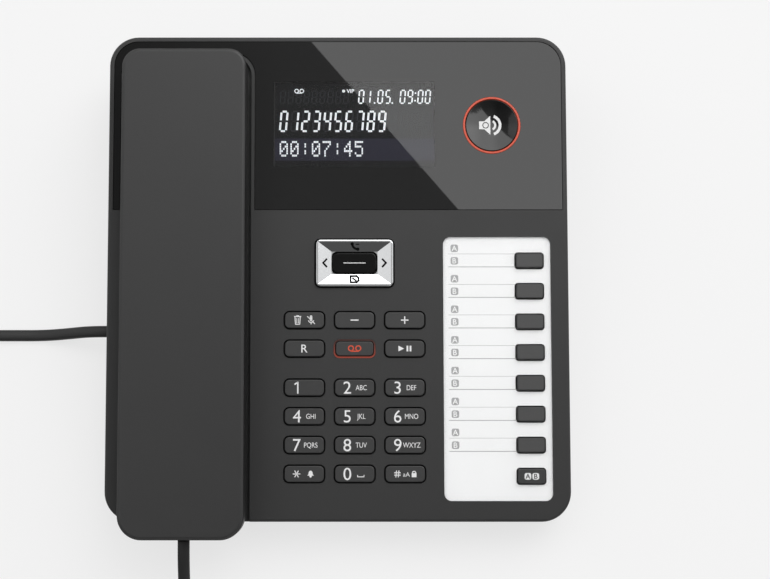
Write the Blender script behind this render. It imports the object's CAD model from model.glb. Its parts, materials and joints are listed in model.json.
"""Corded desk telephone: base with display, rocker, dial pad and label field, handset, curly cord."""
import json
import math

import bmesh
import bpy
from mathutils import Matrix, Vector
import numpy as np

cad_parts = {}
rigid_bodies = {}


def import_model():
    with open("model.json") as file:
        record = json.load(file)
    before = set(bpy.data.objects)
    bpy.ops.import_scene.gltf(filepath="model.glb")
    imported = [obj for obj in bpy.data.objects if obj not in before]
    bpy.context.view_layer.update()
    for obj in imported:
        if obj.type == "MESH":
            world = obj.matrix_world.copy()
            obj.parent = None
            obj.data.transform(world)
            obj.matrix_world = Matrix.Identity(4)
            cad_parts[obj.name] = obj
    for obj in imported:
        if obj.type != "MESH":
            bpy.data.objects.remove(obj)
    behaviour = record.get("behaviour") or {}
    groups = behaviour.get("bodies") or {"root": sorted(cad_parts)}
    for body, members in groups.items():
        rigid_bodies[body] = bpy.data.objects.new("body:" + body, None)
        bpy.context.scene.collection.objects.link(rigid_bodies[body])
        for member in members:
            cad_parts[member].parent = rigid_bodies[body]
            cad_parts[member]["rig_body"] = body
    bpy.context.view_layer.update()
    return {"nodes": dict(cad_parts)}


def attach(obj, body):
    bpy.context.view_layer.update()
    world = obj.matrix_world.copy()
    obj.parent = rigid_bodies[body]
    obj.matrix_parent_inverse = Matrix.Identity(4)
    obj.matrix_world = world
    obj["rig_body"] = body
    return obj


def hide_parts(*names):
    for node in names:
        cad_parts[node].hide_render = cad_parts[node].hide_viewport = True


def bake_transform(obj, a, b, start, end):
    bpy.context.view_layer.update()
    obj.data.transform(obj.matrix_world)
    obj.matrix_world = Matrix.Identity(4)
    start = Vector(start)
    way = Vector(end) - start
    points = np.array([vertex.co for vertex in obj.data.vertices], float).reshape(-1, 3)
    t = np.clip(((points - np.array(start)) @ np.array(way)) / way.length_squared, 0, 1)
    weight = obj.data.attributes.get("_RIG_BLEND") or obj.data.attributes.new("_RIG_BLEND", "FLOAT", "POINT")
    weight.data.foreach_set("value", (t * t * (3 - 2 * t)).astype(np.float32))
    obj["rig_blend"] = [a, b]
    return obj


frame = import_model()
scene = bpy.context.scene


# Camera of the picture: a long lens high over the front edge, square to the telephone.
# The deck slopes by eight degrees, and most pieces below are placed in its own plane:
# u to the right, v up the slope and w out of it, in millimetres.
slope = math.radians(8)
deck_middle = (0, 0.00396375, 0.03440442)
deck = Matrix.Translation(deck_middle) @ Matrix.Rotation(slope, 4, "X") @ Matrix.Scale(0.001, 4)


def on_deck(u, v, w):
    """Point of the scene, in metres, at a place on the deck."""
    return deck @ Vector((u, v, w))


picture_width = 770
middle_pixel = 337.8
focal_pixels = 1650
film_width = 36
looking_down = math.radians(76.6)
camera_distance = 0.7
aim_v = -5.73
camera = bpy.data.objects.new("camera", bpy.data.cameras.new("camera"))
camera.data.sensor_fit = "HORIZONTAL"
camera.data.sensor_width = film_width
camera.data.lens = focal_pixels / picture_width * film_width
camera.data.shift_x = (picture_width / 2 - middle_pixel) / picture_width
towards_camera = Vector((0, -math.cos(looking_down), math.sin(looking_down)))
camera.location = on_deck(0, aim_v, 0) + camera_distance * towards_camera
camera.rotation_euler = (math.pi / 2 - looking_down, 0, 0)
scene.collection.objects.link(camera)
scene.camera = camera


# Curly handset cord: a flat black jacket, five millimetres wide, wound on its own thin side.
# One lead leaves the socket in the left side, the curls lie round the front left corner,
# and the other lead climbs to the plug in the mouth end of the handset.
cord_w = 5.0
cord_t = 2.8
table_gap = 0.05
table_z = cord_t / 2 + table_gap
curl_r = 5.6
curls = 29
curl_ramp = 10.0
base_plug = Vector((-98.2, -15, 10))
handset_plug = on_deck(-63.4, -110.3, 11.4) * 1000
curl_left, curl_front, curl_bend = base_plug.x - 95, handset_plug.y - 47.4, 42.0
curl_start, curl_end = handset_plug.x - 28.6, base_plug.y - 23
base_lead = [base_plug + Vector(p) for p in (
    (0, 0, 0), (-6, 0, 0), (-12, 0, -1), (-18, 0, -3.5), (-24, 0, -6), (-30, 0, -7.8))]
base_lead += [(base_plug.x - x, base_plug.y - y, table_z) for x, y in (
    (36, 0), (43, 0), (50, 0), (57, 0), (64, 0), (71, 0),
    (78, 0.8), (84.5, 3), (90, 7), (93.8, 12), (95, 17.5), (95, 23))]
handset_lead = [(handset_plug.x - x, curl_front + y, z) for x, y, z in (
    (28.6, 0, table_z), (22.6, 0, table_z), (16.6, 0.8, 1.8),
    (11.2, 3.2, 2.8), (6.8, 6.8, 4.6), (3.6, 11.2, 7.4))]
handset_lead += [handset_plug - Vector(p) for p in (
    (1.4, 31.4, 19.1), (0.4, 26.4, 14.9), (0, 21.4, 10.5), (0, 16.2, 6.3),
    (0, 10.8, 3.1), (0, 5.4, 1), (0, 0, 0))]
lead_steps = 4


def eased(route, steps):
    """Points on a smooth curve through a route."""
    route = [Vector(p) for p in route]
    out = []
    for i in range(len(route) - 1):
        a, b, c, d = (route[max(0, min(len(route) - 1, i + k))] for k in (-1, 0, 1, 2))
        for s in range(steps):
            t = s / steps
            out.append(0.5 * (2 * b + (c - a) * t + (2 * a - 5 * b + 4 * c - d) * t ** 2
                              + (3 * b - a - 3 * c + d) * t ** 3))
    return out + [route[-1]]


def curl_axis(s):
    """Point and heading on the axis of the curls, from the handset end."""
    first = curl_start - curl_left - curl_bend
    turn = curl_bend * math.pi / 2
    if s < first:
        return Vector((curl_start - s, curl_front, curl_r + table_z)), Vector((-1, 0, 0))
    if s < first + turn:
        a = (s - first) / curl_bend
        middle = Vector((curl_left + curl_bend, curl_front + curl_bend, curl_r + table_z))
        outward = Vector((math.sin(a), math.cos(a), 0))
        return middle - curl_bend * outward, Vector((-math.cos(a), math.sin(a), 0))
    last = curl_front + curl_bend + s - first - turn
    return Vector((curl_left, last, curl_r + table_z)), Vector((0, 1, 0))


curl_run = (curl_start - curl_left - curl_bend + curl_bend * math.pi / 2
            + curl_end - curl_front - curl_bend)
curl_wind = curl_run - 2 * cord_w
curl_pitch = (curl_wind - curl_ramp) / curls
ramp_turns = curl_ramp / 2 / curl_pitch


def wound(t):
    """Way along the axis after t turns: the pitch eases in and out at both ends."""
    if t < ramp_turns:
        return math.sqrt(2 * curl_ramp * curl_pitch * t)
    if t > curls - ramp_turns:
        return curl_wind - math.sqrt(max(0, 2 * curl_ramp * curl_pitch * (curls - t)))
    return curl_pitch * t + curl_ramp / 2


up = Vector((0, 0, 1))
rings = []
for p in eased(base_lead, lead_steps)[:-1]:
    rings.append((p, up))
per_turn = 22
for i in range(curls * per_turn, -1, -1):
    t = i / per_turn
    middle, heading = curl_axis(cord_w + wound(t))
    a = 2 * math.pi * t
    out = -up * math.cos(a) + heading.cross(up) * math.sin(a)
    rings.append((middle + curl_r * out, -out))
for p in eased(handset_lead, lead_steps)[1:]:
    rings.append((p, up))
jacket_sides = 14
roundness = 0.75
section = []
for i in range(jacket_sides):
    a = 2 * math.pi * (i + 0.5) / jacket_sides
    c, s = math.cos(a), math.sin(a)
    section.append((math.copysign(abs(c) ** roundness, c) * cord_w / 2,
                    math.copysign(abs(s) ** roundness, s) * cord_t / 2))
shape = bmesh.new()
loops = []
for i, (p, thin) in enumerate(rings):
    way = (rings[min(i + 1, len(rings) - 1)][0] - rings[max(i - 1, 0)][0]).normalized()
    thin = (thin - way * thin.dot(way)).normalized()
    wide = thin.cross(way)
    loops.append([shape.verts.new((p + wide * x + thin * y) / 1000) for x, y in section])
for a, b in zip(loops, loops[1:]):
    for j in range(len(section)):
        shape.faces.new((a[j], b[j], b[j - 1], a[j - 1]))
shape.faces.new(loops[0])
shape.faces.new(list(reversed(loops[-1])))
bmesh.ops.recalc_face_normals(shape, faces=shape.faces)
cord_mesh = bpy.data.meshes.new("handset_cord")
shape.to_mesh(cord_mesh)
shape.free()
cord_mesh.shade_smooth()
cord = bpy.data.objects.new("handset_cord", cord_mesh)
scene.collection.objects.link(cord)


def moulded(name, colour, rough, grain, depth, speckle):
    """Moulded plastic or rubber of a colour and roughness. Its grain, in spots to the metre, shifts
    the colour by the speckle and the gloss a little, and stands out as a bump of the given depth."""
    finish = bpy.data.materials.new(name)
    finish.use_nodes = True
    tree = finish.node_tree
    body = tree.nodes["Principled BSDF"]
    place = tree.nodes.new("ShaderNodeTexCoord")
    fine = tree.nodes.new("ShaderNodeTexNoise")
    fine.inputs["Scale"].default_value = grain
    fine.inputs["Detail"].default_value = 3
    broad = tree.nodes.new("ShaderNodeTexNoise")
    broad.inputs["Scale"].default_value = grain / 40
    broad.inputs["Detail"].default_value = 2
    tone = tree.nodes.new("ShaderNodeValToRGB")
    tone.color_ramp.elements[0].position = 0.3
    tone.color_ramp.elements[1].position = 0.7
    tone.color_ramp.elements[0].color = [c * (1 - speckle) for c in colour] + [1]
    tone.color_ramp.elements[1].color = [c * (1 + speckle) for c in colour] + [1]
    gloss = tree.nodes.new("ShaderNodeMapRange")
    gloss.inputs["To Min"].default_value = rough * 0.9
    gloss.inputs["To Max"].default_value = rough * 1.1
    relief = tree.nodes.new("ShaderNodeBump")
    relief.inputs["Strength"].default_value = 0.5
    relief.inputs["Distance"].default_value = depth
    for noise in (fine, broad):
        tree.links.new(place.outputs["Object"], noise.inputs["Vector"])
    tree.links.new(fine.outputs["Fac"], tone.inputs["Fac"])
    tree.links.new(tone.outputs["Color"], body.inputs["Base Color"])
    tree.links.new(broad.outputs["Fac"], gloss.inputs["Value"])
    tree.links.new(gloss.outputs["Result"], body.inputs["Roughness"])
    tree.links.new(fine.outputs["Fac"], relief.inputs["Height"])
    tree.links.new(relief.outputs["Normal"], body.inputs["Normal"])
    return finish


def grey(level):
    """Linear grey of a display level from 0 to 255."""
    c = level / 255
    c = c / 12.92 if c <= 0.04045 else ((c + 0.055) / 1.055) ** 2.4
    return (c, c, c)


jacket = moulded("cord_jacket", grey(27), 0.5, 1800, 0.00002, 0.06)
cord.data.materials.append(jacket)
plugs = [frame["nodes"]["cord_plug_base"], frame["nodes"]["cord_plug_handset"]]
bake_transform(cord, "base", "handset", start=(-0.086, -0.15, 0), end=(-0.0645, -0.15, 0))
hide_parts("cord_base_lead", "cord_curls", "cord_handset_lead")


# Modular plugs at both ends of the cord: smoked clear mouldings with slots for four contacts,
# pushed into their sockets until they lie flush.
clear_plug = moulded("smoked_plug", grey(18), 0.3, 900, 0.00001, 0.06)
for plug in plugs:
    plug.data.materials.clear()
    plug.data.materials.append(clear_plug)


# Casing: two shells of fine-textured dark grey plastic that part along the side of the wedge.
# The lower one has the screw wells, the grille and the keyholes; the upper one is the deck
# with the handset trough, the key holes and the recess of the glossy panel.
def dress(node, finish, edge=0.0, crease=28, plain=False):
    """Copy of a solid with its seams closed, its curved walls smooth and its sharp edges broken."""
    source = frame["nodes"][node]
    shape = bmesh.new()
    shape.from_mesh(source.data)
    bmesh.ops.remove_doubles(shape, verts=shape.verts, dist=0.000002)
    if not plain:
        bmesh.ops.dissolve_limit(shape, angle_limit=math.radians(0.2), verts=shape.verts,
                                 edges=shape.edges)
    mesh = bpy.data.meshes.new(node + "_skin")
    shape.to_mesh(mesh)
    shape.free()
    for layer in [a for a in mesh.attributes if "normal" in a.name]:
        mesh.attributes.remove(layer)
    mesh.shade_flat()
    if not plain:
        mesh.shade_smooth()
        mesh.set_sharp_from_angle(angle=math.radians(crease))
    piece = bpy.data.objects.new(node + "_skin", mesh)
    scene.collection.objects.link(piece)
    piece.data.materials.append(finish)
    if edge > 0:
        soft = piece.modifiers.new("edge", "BEVEL")
        soft.width = edge
        soft.segments = 2
        soft.limit_method = "ANGLE"
        soft.angle_limit = math.radians(crease)
    if not plain:
        even = piece.modifiers.new("even_faces", "WEIGHTED_NORMAL")
        even.keep_sharp = True
        even.weight = 90
    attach(piece, source["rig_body"])
    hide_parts(node)
    return piece


casing = moulded("casing_plastic", grey(37), 0.52, 2600, 0.00004, 0.08)
lower = dress("lower_shell", casing, 0.0003)
dress("upper_shell", casing)
off_deck = deck.inverted()
cut_reach = 0.0000001
groove = moulded("parting_line", grey(12), 0.6, 1500, 0.00001, 0.05)


def part_line(piece, height):
    """Dark line along the joint of two shells, down to the given height over the deck."""
    shape = bmesh.new()
    shape.from_mesh(piece.data)
    bmesh.ops.bisect_plane(shape, geom=shape.verts[:] + shape.edges[:] + shape.faces[:],
                           dist=cut_reach, plane_co=on_deck(0, 0, height), plane_no=deck.to_3x3() @ up)
    for face in shape.faces:
        if (off_deck @ face.calc_center_median()).z > height:
            face.material_index = 1
    shape.to_mesh(piece.data)
    shape.free()
    piece.data.materials.append(groove)


casing_line_w = -10.5
part_line(lower, casing_line_w)


# Under and inside the casing: rubber feet, zinc screws, the loudspeaker, the sockets,
# the board with its rubber mat and the frame that carries the display.
def paint(node, finish):
    """Give a solid that stays as it is its finish."""
    piece = frame["nodes"][node]
    piece.data.materials.clear()
    piece.data.materials.append(finish)


def shader(finish):
    """Main shader of a finish."""
    return finish.node_tree.nodes["Principled BSDF"]


rubber = moulded("rubber", grey(34), 0.75, 1500, 0.00004, 0.1)
dress("feet", rubber, 0.0006)
paint("keypad_mat", rubber)
dark_plastic = moulded("dark_plastic", grey(26), 0.45, 2200, 0.00002, 0.06)
for node in ("lcd_frame", "nav_pivot", "receiver_capsule"):
    paint(node, dark_plastic)
for node in ("handset_socket", "rear_sockets", "handset_jack"):
    dress(node, dark_plastic, 0.0002)
dress("hook_plunger", dark_plastic, 0.0004)
zinc = moulded("zinc_steel", (0.42, 0.43, 0.44), 0.35, 1200, 0.00001, 0.1)
shader(zinc).inputs["Metallic"].default_value = 1
for node in ("loudspeaker", "case_screws", "board_screws", "handset_ballast", "handset_screws",
             "handset_microphone"):
    paint(node, zinc)
board = moulded("board_coating", (0.012, 0.085, 0.04), 0.35, 700, 0.00001, 0.25)
paint("main_board", board)


# Keys: satin caps a shade lighter than the deck, each in a hole with a dark gap round it,
# with white printed legends. The messages key shines orange and sits in its light frame.
cap = moulded("key_plastic", grey(48), 0.42, 2600, 0.00002, 0.05)
ink = moulded("white_ink", grey(222), 0.5, 900, 0.000005, 0.02)
pitch_u, pitch_v = 21.2, 12.05
pad_u, dial_v, function_v = 7.1, -47.35, -18.8
cap_w = 0.8
direct_u, direct_v, direct_pitch = 81.4, 6.64, 13.02
direct_rows = 7
direct_w = 0.5
shift_v = -84.5
ink_lift = 0.02
key_places = {}
dial_rows = (("1", "2", "3"), ("4", "5", "6"), ("7", "8", "9"), ("star", "0", "hash"))
function_rows = (("delete", "minus", "plus"), ("flash", "messages", "play"))
for top_v, rows in ((dial_v, dial_rows), (function_v, function_rows)):
    for row, names in enumerate(rows):
        for col, name in enumerate(names):
            key_places["key_" + name] = (pad_u + (col - 1) * pitch_u, top_v - row * pitch_v, cap_w)
for row in range(direct_rows):
    key_places["direct_key_%d" % (row + 1)] = (direct_u, direct_v - row * direct_pitch, direct_w)
key_places["shift_key"] = (direct_u, shift_v, direct_w)
deck_up = (deck.to_3x3() @ up).normalized()
gap_top_w = 0.1
facing_up = 0.75
for node in key_places:
    key = dress(node, cap)
    key.data.materials.append(groove)
    for face in key.data.polygons:
        if (off_deck @ face.center).z < gap_top_w or face.normal.dot(deck_up) < facing_up:
            face.material_index = 1


def bar(shape, x, y, w, h, turn=0.0):
    """Flat bar of the given width and height about a point."""
    place = (Matrix.Translation((x, y, 0)) @ Matrix.Rotation(math.radians(turn), 4, "Z")
             @ Matrix.Diagonal((w, h, 1, 1)))
    bmesh.ops.create_grid(shape, x_segments=1, y_segments=1, size=0.5, matrix=place)


def line(shape, points, width):
    """Flat line with square ends through the points."""
    for (ax, ay), (bx, by) in zip(points, points[1:]):
        bar(shape, (ax + bx) / 2, (ay + by) / 2, math.hypot(bx - ax, by - ay) + width, width,
            math.degrees(math.atan2(by - ay, bx - ax)))


def arc(shape, x, y, r, width, start=0.0, end=360.0):
    """Flat ring or part of one."""
    a = math.radians(start)
    ends = [shape.verts.new((x + (r + k) * math.cos(a), y + (r + k) * math.sin(a), 0))
            for k in (-width / 2, width / 2)]
    edge = shape.edges.new(ends)
    bmesh.ops.spin(shape, geom=[edge] + ends, cent=(x, y, 0), axis=up, angle=math.radians(end - start),
                   steps=max(6, int((end - start) / 12)), use_merge=end - start >= 360)


def plate(shape, points):
    """Flat plate with the given outline."""
    bmesh.ops.contextual_create(shape, geom=[shape.verts.new((x, y, 0)) for x, y in points])


def rounded(shape, x, y, w, h, r):
    """Flat plate with four round corners about a point."""
    place = Matrix.Translation((x, y, 0)) @ Matrix.Diagonal((w, h, 1, 1))
    corners = bmesh.ops.create_grid(shape, x_segments=1, y_segments=1, size=0.5, matrix=place)["verts"]
    bmesh.ops.bevel(shape, geom=corners, offset=r, affect="VERTICES", segments=5, profile=0.5,
                    material=-1)


def disc(shape, x, y, r):
    """Flat disc about a point."""
    bmesh.ops.create_circle(shape, cap_ends=True, radius=r, segments=20,
                            matrix=Matrix.Translation((x, y, 0)))


def lettering(text, weight=0.0):
    """Flat mesh of a line of text."""
    curve = bpy.data.curves.new("lettering", "FONT")
    curve.body = text
    curve.offset = weight
    curve.resolution_u = 4
    holder = bpy.data.objects.new("lettering", curve)
    scene.collection.objects.link(holder)
    bpy.context.view_layer.update()
    finished = holder.evaluated_get(bpy.context.evaluated_depsgraph_get())
    flat = bpy.data.meshes.new_from_object(finished)
    bpy.data.objects.remove(holder)
    bpy.data.curves.remove(curve)
    return flat


capital = max(p.co.y for p in lettering("H").vertices)


def word(shape, text, x, y, height, weight=0.0, squeeze=1.0):
    """Lettering centred on a point, with capitals of the given height."""
    flat = lettering(text, weight)
    size = height / capital
    middle = (min(p.co.x for p in flat.vertices) + max(p.co.x for p in flat.vertices)) / 2
    flat.transform(Matrix.Translation((x, y - height / 2, 0))
                   @ Matrix.Diagonal((size * squeeze, size, 1, 1))
                   @ Matrix.Translation((-middle, 0, 0)))
    shape.from_mesh(flat)


def printed(shape, name, finish, body, u, v, w):
    """Thin layer of ink or light laid on the deck plane at a place, carried by a body."""
    bmesh.ops.remove_doubles(shape, verts=shape.verts, dist=0.0005)
    bmesh.ops.recalc_face_normals(shape, faces=shape.faces)
    for face in shape.faces:
        if face.normal.z < 0:
            face.normal_flip()
    mesh = bpy.data.meshes.new(name)
    shape.to_mesh(mesh)
    shape.free()
    mesh.transform(deck @ Matrix.Translation((u, v, w)))
    piece = bpy.data.objects.new(name, mesh)
    scene.collection.objects.link(piece)
    piece.data.materials.append(finish)
    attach(piece, body)
    return piece


letters_of = {"2": "ABC", "3": "DEF", "4": "GHI", "5": "JKL",
              "6": "MNO", "7": "PQRS", "8": "TUV", "9": "WXYZ"}
digit_x, digit_h = -3.1, 5.1
letters_x, letters_h, letters_squeeze = 2.75, 2.1, 0.8
legends = {}
for digit in "1234567890":
    legend = bmesh.new()
    if digit == "1":
        line(legend, [(-3.9, 1.5), (-2.75, 2.25), (-2.75, -2.25)], 0.6)
    else:
        word(legend, digit, digit_x, 0, digit_h)
    if digit in letters_of:
        word(legend, letters_of[digit], letters_x, 0, letters_h, squeeze=letters_squeeze)
    if digit == "0":
        line(legend, [(1.2, -0.6), (1.2, -1.2), (3.9, -1.2), (3.9, -0.6)], 0.36)
    legends["key_" + digit] = legend
# star and bell
legend = bmesh.new()
for turn in (0, 60, 120):
    bar(legend, -3.2, 0, 3.2, 0.4, turn)
plate(legend, [(1.3, -0.7), (4.1, -0.7), (3.6, -0.1), (3.5, 0.8), (3.1, 1.25),
               (2.7, 1.4), (2.3, 1.25), (1.9, 0.8), (1.8, -0.1)])
disc(legend, 2.7, -1.0, 0.5)
legends["key_star"] = legend
# hash, small and capital letter, padlock
legend = bmesh.new()
for k in (-0.5, 0.5):
    bar(legend, -3.3 + k, 0, 0.4, 2.9, -6)
    bar(legend, -3.3, k, 2.7, 0.4)
word(legend, "aA", 0.5, -0.2, 1.8)
bar(legend, 3.7, -0.5, 2.0, 1.7)
arc(legend, 3.7, 0.4, 0.7, 0.4, 0, 180)
legends["key_hash"] = legend
# bin with its lid, and crossed-out microphone
legend = bmesh.new()
bar(legend, -2.9, 1.5, 3.0, 0.4)
bar(legend, -2.9, 1.85, 1.1, 0.4)
line(legend, [(-4.0, 1.2), (-3.8, -1.8), (-2.0, -1.8), (-1.8, 1.2)], 0.36)
for k in (-0.35, 0.35):
    bar(legend, -2.9 + k, -0.3, 0.28, 2.2)
bar(legend, 2.8, 0.75, 1.1, 1.5)
disc(legend, 2.8, 1.5, 0.55)
disc(legend, 2.8, 0.0, 0.55)
arc(legend, 2.8, 0.1, 1.15, 0.34, 190, 350)
bar(legend, 2.8, -1.5, 0.36, 0.7)
bar(legend, 2.8, 0, 4.6, 0.36, -45)
legends["key_delete"] = legend
# quieter, louder, flash, play and pause
legend = bmesh.new()
bar(legend, 0, 0, 3.4, 0.5)
legends["key_minus"] = legend
legend = bmesh.new()
bar(legend, 0, 0, 3.2, 0.5)
bar(legend, 0, 0, 0.5, 3.2)
legends["key_plus"] = legend
legend = bmesh.new()
word(legend, "R", 0, 0, 3.3, 0.004)
legends["key_flash"] = legend
legend = bmesh.new()
plate(legend, [(-2.7, -1.2), (-2.7, 1.2), (-0.3, 0)])
bar(legend, 1.1, 0, 0.75, 2.4)
bar(legend, 2.4, 0, 0.75, 2.4)
legends["key_play"] = legend
# two boxes of the shift key, with their letters cut dark
box_x = 1.65
legend = bmesh.new()
for k in (-box_x, box_x):
    rounded(legend, k, 0, 2.8, 2.8, 0.8)
legends["shift_key"] = legend
for node, legend in legends.items():
    u, v, w = key_places[node]
    printed(legend, node + "_legend", ink, node, u, v, w + ink_lift)
mark = bmesh.new()
for k, letter in ((-box_x, "A"), (box_x, "B")):
    word(mark, letter, k, 0, 2.0, 0.01)
letter_lift = 0.05
printed(mark, "shift_key_letters", dark_plastic, "shift_key", direct_u, shift_v, direct_w + letter_lift)
pale_cap = moulded("direct_key_plastic", grey(64), 0.42, 2600, 0.00002, 0.05)
for node in [n for n in key_places if n.startswith("direct")]:
    u, v, w = key_places[node]
    face = bmesh.new()
    rounded(face, 0, 0, 10.6, 5.2, 0.9)
    printed(face, node + "_face", pale_cap, node, u, v, w + ink_lift)


def glowing(name, colour, strength):
    """Light guide: a translucent colour that shines by itself, a little uneven along its length."""
    finish = moulded(name, colour, 0.3, 900, 0.000005, 0.08)
    shader(finish).inputs["Emission Color"].default_value = (*colour, 1)
    shader(finish).inputs["Emission Strength"].default_value = strength
    return finish


orange = (0.5, 0.06, 0.025)
light = glowing("orange_light", orange, 0.16)
dim_light = moulded("messages_light", (0.05, 0.018, 0.014), 0.3, 900, 0.000005, 0.08)
tree = dim_light.node_tree
shader(dim_light).inputs["Emission Color"].default_value = (*orange, 1)
place = tree.nodes.new("ShaderNodeTexCoord")
split = tree.nodes.new("ShaderNodeSeparateXYZ")
fade = tree.nodes.new("ShaderNodeMapRange")
fade.inputs["From Min"].default_value = -0.0300
fade.inputs["From Max"].default_value = -0.0240
fade.inputs["To Min"].default_value = 0.42
fade.inputs["To Max"].default_value = 0.01
tree.links.new(place.outputs["Object"], split.inputs[0])
tree.links.new(split.outputs["Y"], fade.inputs["Value"])
tree.links.new(fade.outputs["Result"], shader(dim_light).inputs["Emission Strength"])
mark = bmesh.new()
for k in (-1.55, 1.55):
    arc(mark, k, 0.1, 1.05, 0.5)
bar(mark, 0, -1.15, 3.4, 0.5)
u, v, w = key_places["key_messages"]
printed(mark, "key_messages_legend", light, "key_messages", u, v, w + ink_lift)
dress("messages_light", dim_light)


# Display: a dark negative glass behind the panel's window, with white segments in two rows
# and a bluish text bar below. The digits shine through the window.
glass = moulded("display_glass", (0.004, 0.004, 0.005), 0.3, 500, 0.0000004, 0.1)
shader(glass).inputs["Specular IOR Level"].default_value = 0.05
dress("lcd_module", glass, plain=True)
segment_light = glowing("segment_light", (0.8, 0.83, 0.85), 0.62)
ghost_light = glowing("ghost_segments", (0.02, 0.022, 0.025), 0.4)
bar_light = glowing("text_bar", (0.014, 0.014, 0.023), 0.8)
for finish in (ghost_light, bar_light):
    shader(finish).inputs["Specular IOR Level"].default_value = 0.0
lit = {"0": "abcdef", "1": "bc", "2": "abged", "3": "abgcd", "4": "fgbc",
       "5": "afgcd", "6": "afgedc", "7": "abc", "8": "abcdefg", "9": "abcdfg"}
digit_slant = 0.09


def segments(shape, digit, x, y, w, h, t):
    """One digit of seven bars about a point."""
    bars = {"a": (0, h / 2, 0), "d": (0, -h / 2, 0), "g": (0, 0, 0),
            "f": (-w / 2, h / 4, 85), "b": (w / 2, h / 4, 85),
            "e": (-w / 2, -h / 4, 85), "c": (w / 2, -h / 4, 85)}
    for name in lit[digit]:
        bx, by, turn = bars[name]
        length = w - t if turn == 0 else h / 2 - t
        bar(shape, x + bx + digit_slant * by, y + by, length, t, turn)


display_u, display_v, display_depth = 7, 65.3, -2.1
window_w, window_l = 69, 37
ground = bmesh.new()
bar(ground, display_u, display_v, window_w + 2, window_l + 2)
printed(ground, "display_ground", glass, "base", 0, 0, display_depth - 0.01)
edge_u = -27.2
edge = bmesh.new()
bar(edge, edge_u, display_v, 0.5, window_l)
printed(edge, "display_edge", groove, "base", 0, 0, display_depth + 0.03)
bar_u, bar_v, bar_w, bar_l = 7.3, 54.6, 68.4, 9.6
bar_shape = bmesh.new()
bar(bar_shape, bar_u, bar_v, bar_w, bar_l)
printed(bar_shape, "display_text_bar", bar_light, "base", 0, 0, display_depth)
number_u, number_v, number_pitch, number_w, number_h = -23.2, 66.9, 4.68, 2.6, 8.5
ghosts = bmesh.new()
for i in range(14):
    segments(ghosts, "8", number_u + i * number_pitch, number_v, number_w, number_h, 0.7)
upper_u, upper_pitch = -23.6, 3.4
for i in range(9):
    segments(ghosts, "8", upper_u + i * upper_pitch, 77.4, 2.0, 5.4, 0.5)
printed(ghosts, "display_ghosts", ghost_light, "base", 0, 0, display_depth + 0.01)
shown = bmesh.new()
for i, digit in enumerate("0123456789"):
    segments(shown, digit, number_u + i * number_pitch, number_v, number_w, number_h, 0.85)
date_v, date_w, date_h = 77.6, 1.9, 5.6
for digit, x in zip("01050900", (10.1, 13.0, 18.3, 21.6, 27.9, 31.1, 35.5, 38.7)):
    segments(shown, digit, x, date_v, date_w, date_h, 0.6)
stop_size = 0.65
for x, y in ((15.8, 74.9), (23.4, 74.9), (33.2, 75.9), (33.4, 79.2)):
    bar(shown, x, y, stop_size, stop_size)
# tape sign, dot and word over the upper row
tape_u, signs_v = -16.6, 80.1
for k in (-1.1, 1.1):
    arc(shown, tape_u + k, signs_v, 0.8, 0.4)
bar(shown, tape_u, 79.2, 2.4, 0.4)
disc(shown, 2.5, signs_v, 0.65)
word(shown, "VIP", 5.4, signs_v, 1.6, 0.02)
dots = {"0": "01110 10001 10011 10101 11001 10001 01110",
        "4": "00010 00110 01010 10010 11111 00010 00010",
        "5": "11111 10000 11110 00001 00001 10001 01110",
        "7": "11111 00001 00010 00100 01000 01000 01000",
        ":": "00000 00100 00100 00000 00100 00100 00000"}
time_u, time_v, time_pitch = -24.6, 57.9, 4.6
dot_pitch_u, dot_pitch_v, dot_w, dot_h = 0.72, 0.98, 0.62, 0.86
for i, sign in enumerate("00:07:45"):
    for row, cells in enumerate(dots[sign].split()):
        for col, cell in enumerate(cells):
            if cell == "1":
                bar(shown, time_u + i * time_pitch + col * dot_pitch_u, time_v - row * dot_pitch_v,
                    dot_w, dot_h)
printed(shown, "display_digits", segment_light, "base", 0, 0, display_depth + 0.02)


# Front panel: a polished black pane let into the deck, clear over the display,
# notched round the handset trough and bored for the speaker key.
pane = moulded("panel_gloss", grey(16), 0.012, 400, 0.0000001, 0.1)
panel = dress("front_panel", pane, plain=True)
half_w, half_l = window_w / 2, window_l / 2
pane_middle_w = -1
shape = bmesh.new()
shape.from_mesh(panel.data)
for u, v, way in ((display_u - half_w, 0, (1, 0, 0)), (display_u + half_w, 0, (1, 0, 0)),
                  (0, display_v - half_l, (0, 1, 0)), (0, display_v + half_l, (0, 1, 0))):
    bmesh.ops.bisect_plane(shape, geom=shape.verts[:] + shape.edges[:] + shape.faces[:],
                           dist=cut_reach, plane_co=on_deck(u, v, 0),
                           plane_no=deck.to_3x3() @ Vector(way))
for face in shape.faces:
    middle = off_deck @ face.calc_center_median()
    if abs(middle.x - display_u) < half_w and abs(middle.y - display_v) < half_l:
        face.material_index = 1 if middle.z > pane_middle_w else 2
    elif middle.z < pane_middle_w:
        face.material_index = 3
shape.to_mesh(panel.data)
shape.free()
window = moulded("panel_window", (0.95, 0.95, 0.96), 0.012, 400, 0.0000001, 0.01)
shader(window).inputs["Transmission Weight"].default_value = 1
panel.data.materials.append(window)
inner_face = moulded("window_back", grey(30), 0.3, 400, 0.0000003, 0.02)
shader(inner_face).inputs["Alpha"].default_value = 0.02
panel.data.materials.append(inner_face)
back_print = moulded("panel_back_print", grey(3), 0.7, 400, 0.0000004, 0.1)
shader(back_print).inputs["Specular IOR Level"].default_value = 0.1
panel.data.materials.append(back_print)


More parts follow.
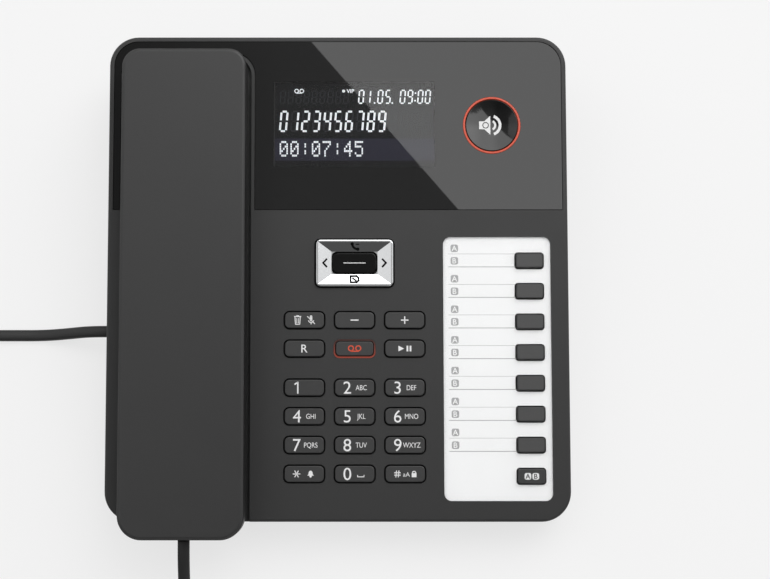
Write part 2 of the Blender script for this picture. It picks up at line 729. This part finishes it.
# Speaker key: a polished black disc, slightly hollow, in an orange light ring,
# with a white loudspeaker sign. The shine of the hollow lies beside the middle.
speaker_u, speaker_v = 65.9, 64.9
hollow_u, hollow_v = 62.4, 67.9
gloss = moulded("key_gloss", grey(14), 0.08, 400, 0.0000004, 0.1)
dress("speaker_ring", light, 0.0002)
hollow = moulded("speaker_key_gloss", grey(14), 0.06, 400, 0.0000004, 0.1)
tree = hollow.node_tree
place = tree.nodes.new("ShaderNodeTexCoord")
reach = tree.nodes.new("ShaderNodeVectorMath")
reach.operation = "DISTANCE"
reach.inputs[1].default_value = on_deck(hollow_u, hollow_v, 0)
bowl = tree.nodes.new("ShaderNodeMath")
bowl.operation = "POWER"
bowl.inputs[1].default_value = 2
dish = tree.nodes.new("ShaderNodeBump")
dish.inputs["Distance"].default_value = 9
tree.links.new(place.outputs["Object"], reach.inputs[0])
tree.links.new(reach.outputs["Value"], bowl.inputs[0])
tree.links.new(bowl.outputs[0], dish.inputs["Height"])
tree.links.new(dish.outputs["Normal"], shader(hollow).inputs["Normal"])
dress("speaker_key", hollow, 0.0002)
sign = bmesh.new()
bar(sign, -4.3, 0, 2.2, 3.4)
plate(sign, [(-3.2, -1.7), (-0.6, -4.1), (-0.6, 4.1), (-3.2, 1.7)])
arc(sign, -0.5, 0, 2.0, 0.9, -62, 62)
arc(sign, -0.5, 0, 4.1, 1.15, -70, 70)
printed(sign, "speaker_key_sign", ink, "speaker_key", speaker_u, speaker_v, 0.1)
hole = bmesh.new()
arc(hole, -2.6, 0, 1.2, 0.4)
printed(hole, "speaker_key_sign_hole", gloss, "speaker_key", speaker_u, speaker_v, 0.13)


# Rocker: a chromed frame with four dished facets that tilts on its cross pivot,
# dark signs on its facets, and a polished black centre key with a white line.
rocker_u, rocker_v = 7.1, 5.5
half_u, half_v, rim_w = 15.45, 9, 1.7
facet_u, facet_v, facet_drop = 5.65, 4.15, 1.1
sign_lift = 0.2
chrome = moulded("satin_chrome", (0.8, 0.81, 0.82), 0.1, 1500, 0.0000003, 0.02)
shader(chrome).inputs["Metallic"].default_value = 1
dress("nav_rocker", chrome, 0.0004, 8)
deep_gloss = moulded("centre_key_gloss", grey(6), 0.12, 400, 0.0000004, 0.1)
shader(deep_gloss).inputs["Specular IOR Level"].default_value = 0.25
dress("nav_centre_key", deep_gloss)
sign = bmesh.new()
bar(sign, 0, 0, 9.4, 0.32)
printed(sign, "centre_key_line", ink, "nav_centre_key", rocker_u, rocker_v, 0.92)
dark_ink = moulded("dark_ink", grey(5), 0.6, 900, 0.000005, 0.05)
shader(dark_ink).inputs["Specular IOR Level"].default_value = 0.1
facet_side = math.degrees(math.atan2(facet_drop, facet_u))
facet_end = math.degrees(math.atan2(facet_drop, facet_v))
for name, u, v, tip_x, tip_y in (("back", -12.6, 0, 0, facet_side), ("next", 12.6, 0, 0, -facet_side),
                                 ("call", 0, 6.9, facet_end, 0), ("book", 0, -6.9, -facet_end, 0)):
    sign = bmesh.new()
    if name == "back":
        line(sign, [(0.7, 1.5), (-0.7, 0), (0.7, -1.5)], 0.75)
    if name == "next":
        line(sign, [(-0.7, 1.5), (0.7, 0), (-0.7, -1.5)], 0.75)
    if name == "call":
        arc(sign, 1.4, 1.3, 2.4, 0.95, 185, 265)
        disc(sign, -1.0, 1.2, 0.7)
        disc(sign, 1.4, -1.1, 0.7)
        line(sign, [(0.7, 1.0), (1.8, 1.0)], 0.4)
    if name == "book":
        line(sign, [(-1.7, -1.4), (-1.7, 1.4), (0.9, 1.4), (1.7, 0.6), (1.7, -0.6), (0.9, -1.4),
                    (-1.7, -1.4)], 0.8)
        line(sign, [(-0.7, 0.4), (0.5, -0.6)], 0.7)
    lean = Matrix.Rotation(math.radians(tip_x), 4, "X") @ Matrix.Rotation(math.radians(tip_y), 4, "Y")
    bmesh.ops.transform(sign, matrix=lean, verts=sign.verts)
    height = rim_w - facet_drop * ((half_u - abs(u)) / facet_u if u else (half_v - abs(v)) / facet_v)
    printed(sign, "rocker_sign_" + name, dark_ink, "nav_rocker", rocker_u + u, rocker_v + v,
            height + sign_lift)


# Label field: a white paper card printed with lines and with A and B boxes,
# under a clear cover that lies flush in the deck round the direct keys.
paper = moulded("label_paper", grey(243), 0.7, 3000, 0.00001, 0.015)
dress("label_card", paper, plain=True)
clear = moulded("clear_cover", (0.9, 0.92, 0.93), 0.08, 400, 0.0000004, 0.01)
shader(clear).inputs["Alpha"].default_value = 0.06
cover = dress("label_cover", clear, plain=True)
cover_lift = 0.06
cover.data.transform(Matrix.Translation(deck.to_3x3() @ Vector((0, 0, cover_lift))))
grey_ink = moulded("grey_ink", grey(158), 0.6, 900, 0.000005, 0.03)
line_u, line_w = 61.3, 28.6
box_u, box_w, box_r = 49.6, 3.2, 0.8
print_w = -1.085
lines = bmesh.new()
boxes = bmesh.new()
box_letters = bmesh.new()
for row in range(direct_rows):
    v = direct_v - row * direct_pitch
    bar(lines, line_u, v + 2.95, line_w, 0.16)
    bar(lines, line_u, v - 2.6, line_w, 0.32)
    for letter, lift in (("A", 5.35), ("B", 0.0)):
        rounded(boxes, box_u, v + lift, box_w, box_w, box_r)
        word(box_letters, letter, box_u, v + lift, 2.2, 0.01)
printed(lines, "label_lines", grey_ink, "base", 0, 0, print_w)
printed(boxes, "label_boxes", grey_ink, "base", 0, 0, print_w)
printed(box_letters, "label_letters", paper, "base", 0, 0, print_w + 0.01)


# Handset: a flat slab in two shells of textured plastic, lighter on its top face and darker
# down its flanks, with its ear and mouth cups in the wells of the trough.
handset_line_w = 8.6
grip = moulded("handset_plastic", grey(41), 0.42, 2600, 0.00005, 0.09)
flank = moulded("handset_flank", grey(14), 0.5, 2600, 0.00005, 0.09)
shader(flank).inputs["Specular IOR Level"].default_value = 0.3
top_shell = dress("handset_top_shell", grip)
top_shell.data.materials.append(flank)
for face in top_shell.data.polygons:
    if face.normal.dot(deck_up) < facing_up:
        face.material_index = 1
part_line(dress("handset_bottom_shell", flank), handset_line_w)


# Stage: a plain pale floor and soft studio light. A large soft panel hangs at the rear right,
# so that its edge mirrors as a slanting line in the glossy pane.
floor_half, floor_z = 3, -0.00005
floor_shape = bmesh.new()
bmesh.ops.create_grid(floor_shape, x_segments=1, y_segments=1, size=floor_half,
                      matrix=Matrix.Translation((0, 0, floor_z)))
floor_mesh = bpy.data.meshes.new("floor")
floor_shape.to_mesh(floor_mesh)
floor_shape.free()
floor = bpy.data.objects.new("floor", floor_mesh)
scene.collection.objects.link(floor)
pale = bpy.data.materials.new("pale_floor")
pale.use_nodes = True
tree = pale.node_tree
tree.nodes.remove(tree.nodes["Principled BSDF"])
matt = tree.nodes.new("ShaderNodeBsdfDiffuse")
matt.inputs["Color"].default_value = (*grey(222), 1)
glow = tree.nodes.new("ShaderNodeEmission")
glow.inputs["Color"].default_value = (*grey(242), 1)
glow.inputs["Strength"].default_value = 1.06
rays = tree.nodes.new("ShaderNodeLightPath")
seen = tree.nodes.new("ShaderNodeMath")
seen.operation = "MAXIMUM"
through = tree.nodes.new("ShaderNodeMath")
through.operation = "MAXIMUM"
share = tree.nodes.new("ShaderNodeMath")
share.operation = "MULTIPLY"
share.inputs[1].default_value = 0.75
both = tree.nodes.new("ShaderNodeMixShader")
tree.links.new(rays.outputs["Is Camera Ray"], seen.inputs[0])
tree.links.new(rays.outputs["Is Glossy Ray"], seen.inputs[1])
tree.links.new(seen.outputs[0], through.inputs[0])
tree.links.new(rays.outputs["Is Transmission Ray"], through.inputs[1])
tree.links.new(through.outputs[0], share.inputs[0])
tree.links.new(share.outputs[0], both.inputs["Fac"])
tree.links.new(matt.outputs[0], both.inputs[1])
tree.links.new(glow.outputs[0], both.inputs[2])
tree.links.new(both.outputs[0], tree.nodes["Material Output"].inputs["Surface"])
floor.data.materials.append(pale)


def soft_panel(name, u, v, w, across, along, turn, level, mirrored=True):
    """Soft light panel in a plane over the deck, with a given brightness of its face."""
    lamp = bpy.data.lights.new(name, "AREA")
    lamp.shape = "RECTANGLE"
    lamp.size = across
    lamp.size_y = along
    lamp.energy = level * math.pi * across * along
    holder = bpy.data.objects.new(name, lamp)
    holder.matrix_world = (Matrix.Translation(on_deck(u, v, w)) @ Matrix.Rotation(slope, 4, "X")
                           @ Matrix.Rotation(turn, 4, "Z"))
    holder.visible_camera = False
    holder.visible_glossy = mirrored
    scene.collection.objects.link(holder)


(start_u, start_v), (end_u, end_v), panel_height = (-26.8, 325.5), (118.2, 157.3), 900
edge_turn = math.atan2(end_v - start_v, end_u - start_u)
along_edge = Vector((math.cos(edge_turn), math.sin(edge_turn), 0))
off_edge = Vector((-math.sin(edge_turn), math.cos(edge_turn), 0))
edge_middle = Vector(((start_u + end_u) / 2, (start_v + end_v) / 2, panel_height))
middle = edge_middle - 230 * along_edge + 700 * off_edge
soft_panel("rear_panel", *middle, 0.94, 1.4, edge_turn, 2.2)
soft_panel("left_panel", -660, 100, 900, 0.8, 1.2, 0, 0.62)
soft_panel("top_fill", 0, 0, 1200, 1.6, 1.6, 0, 0.42, mirrored=False)
world = bpy.data.worlds.new("studio")
world.use_nodes = True
tree = world.node_tree
place = tree.nodes.new("ShaderNodeTexCoord")
split = tree.nodes.new("ShaderNodeSeparateXYZ")
fade = tree.nodes.new("ShaderNodeMapRange")
fade.inputs["From Min"].default_value = 0.2
fade.inputs["From Max"].default_value = 0.9
fade.inputs["To Min"].default_value = 2.2
fade.inputs["To Max"].default_value = 1.87
strength = fade.outputs["Result"]
across = ((-1, 0.5), (-0.5, 0.5), (-0.3, 0.22), (-0.14, 0.22), (-0.03, 0.5), (0.15, 0.5),
          (0.34, 1), (0.55, 1), (0.75, 0.5), (1, 1))
to_rear = ((-1, 0.45), (-0.8, 0.36), (-0.65, 0.09), (-0.3, 0.09), (-0.06, 0.45), (0.1, 0.45),
           (0.22, 1), (0.6, 1), (0.8, 0.45), (1, 1))
for axis, stops in (("X", across), ("Y", to_rear)):
    half = tree.nodes.new("ShaderNodeMapRange")
    half.inputs["From Min"].default_value = -1
    card = tree.nodes.new("ShaderNodeValToRGB")
    ramp = card.color_ramp.elements
    for where, level in stops:
        if abs(where) == 1:
            stop = ramp[0] if where < 0 else ramp[-1]
        else:
            stop = ramp.new((where + 1) / 2)
        stop.color = (level, level, level, 1)
    product = tree.nodes.new("ShaderNodeMath")
    product.operation = "MULTIPLY"
    tree.links.new(split.outputs[axis], half.inputs["Value"])
    tree.links.new(half.outputs["Result"], card.inputs["Fac"])
    tree.links.new(strength, product.inputs[0])
    tree.links.new(card.outputs["Color"], product.inputs[1])
    strength = product.outputs[0]
tree.nodes["Background"].inputs["Color"].default_value = (1, 1, 1, 1)
tree.links.new(place.outputs["Generated"], split.inputs[0])
tree.links.new(split.outputs["Z"], fade.inputs["Value"])
tree.links.new(strength, tree.nodes["Background"].inputs["Strength"])
scene.world = world
scene.view_settings.view_transform = "Standard"
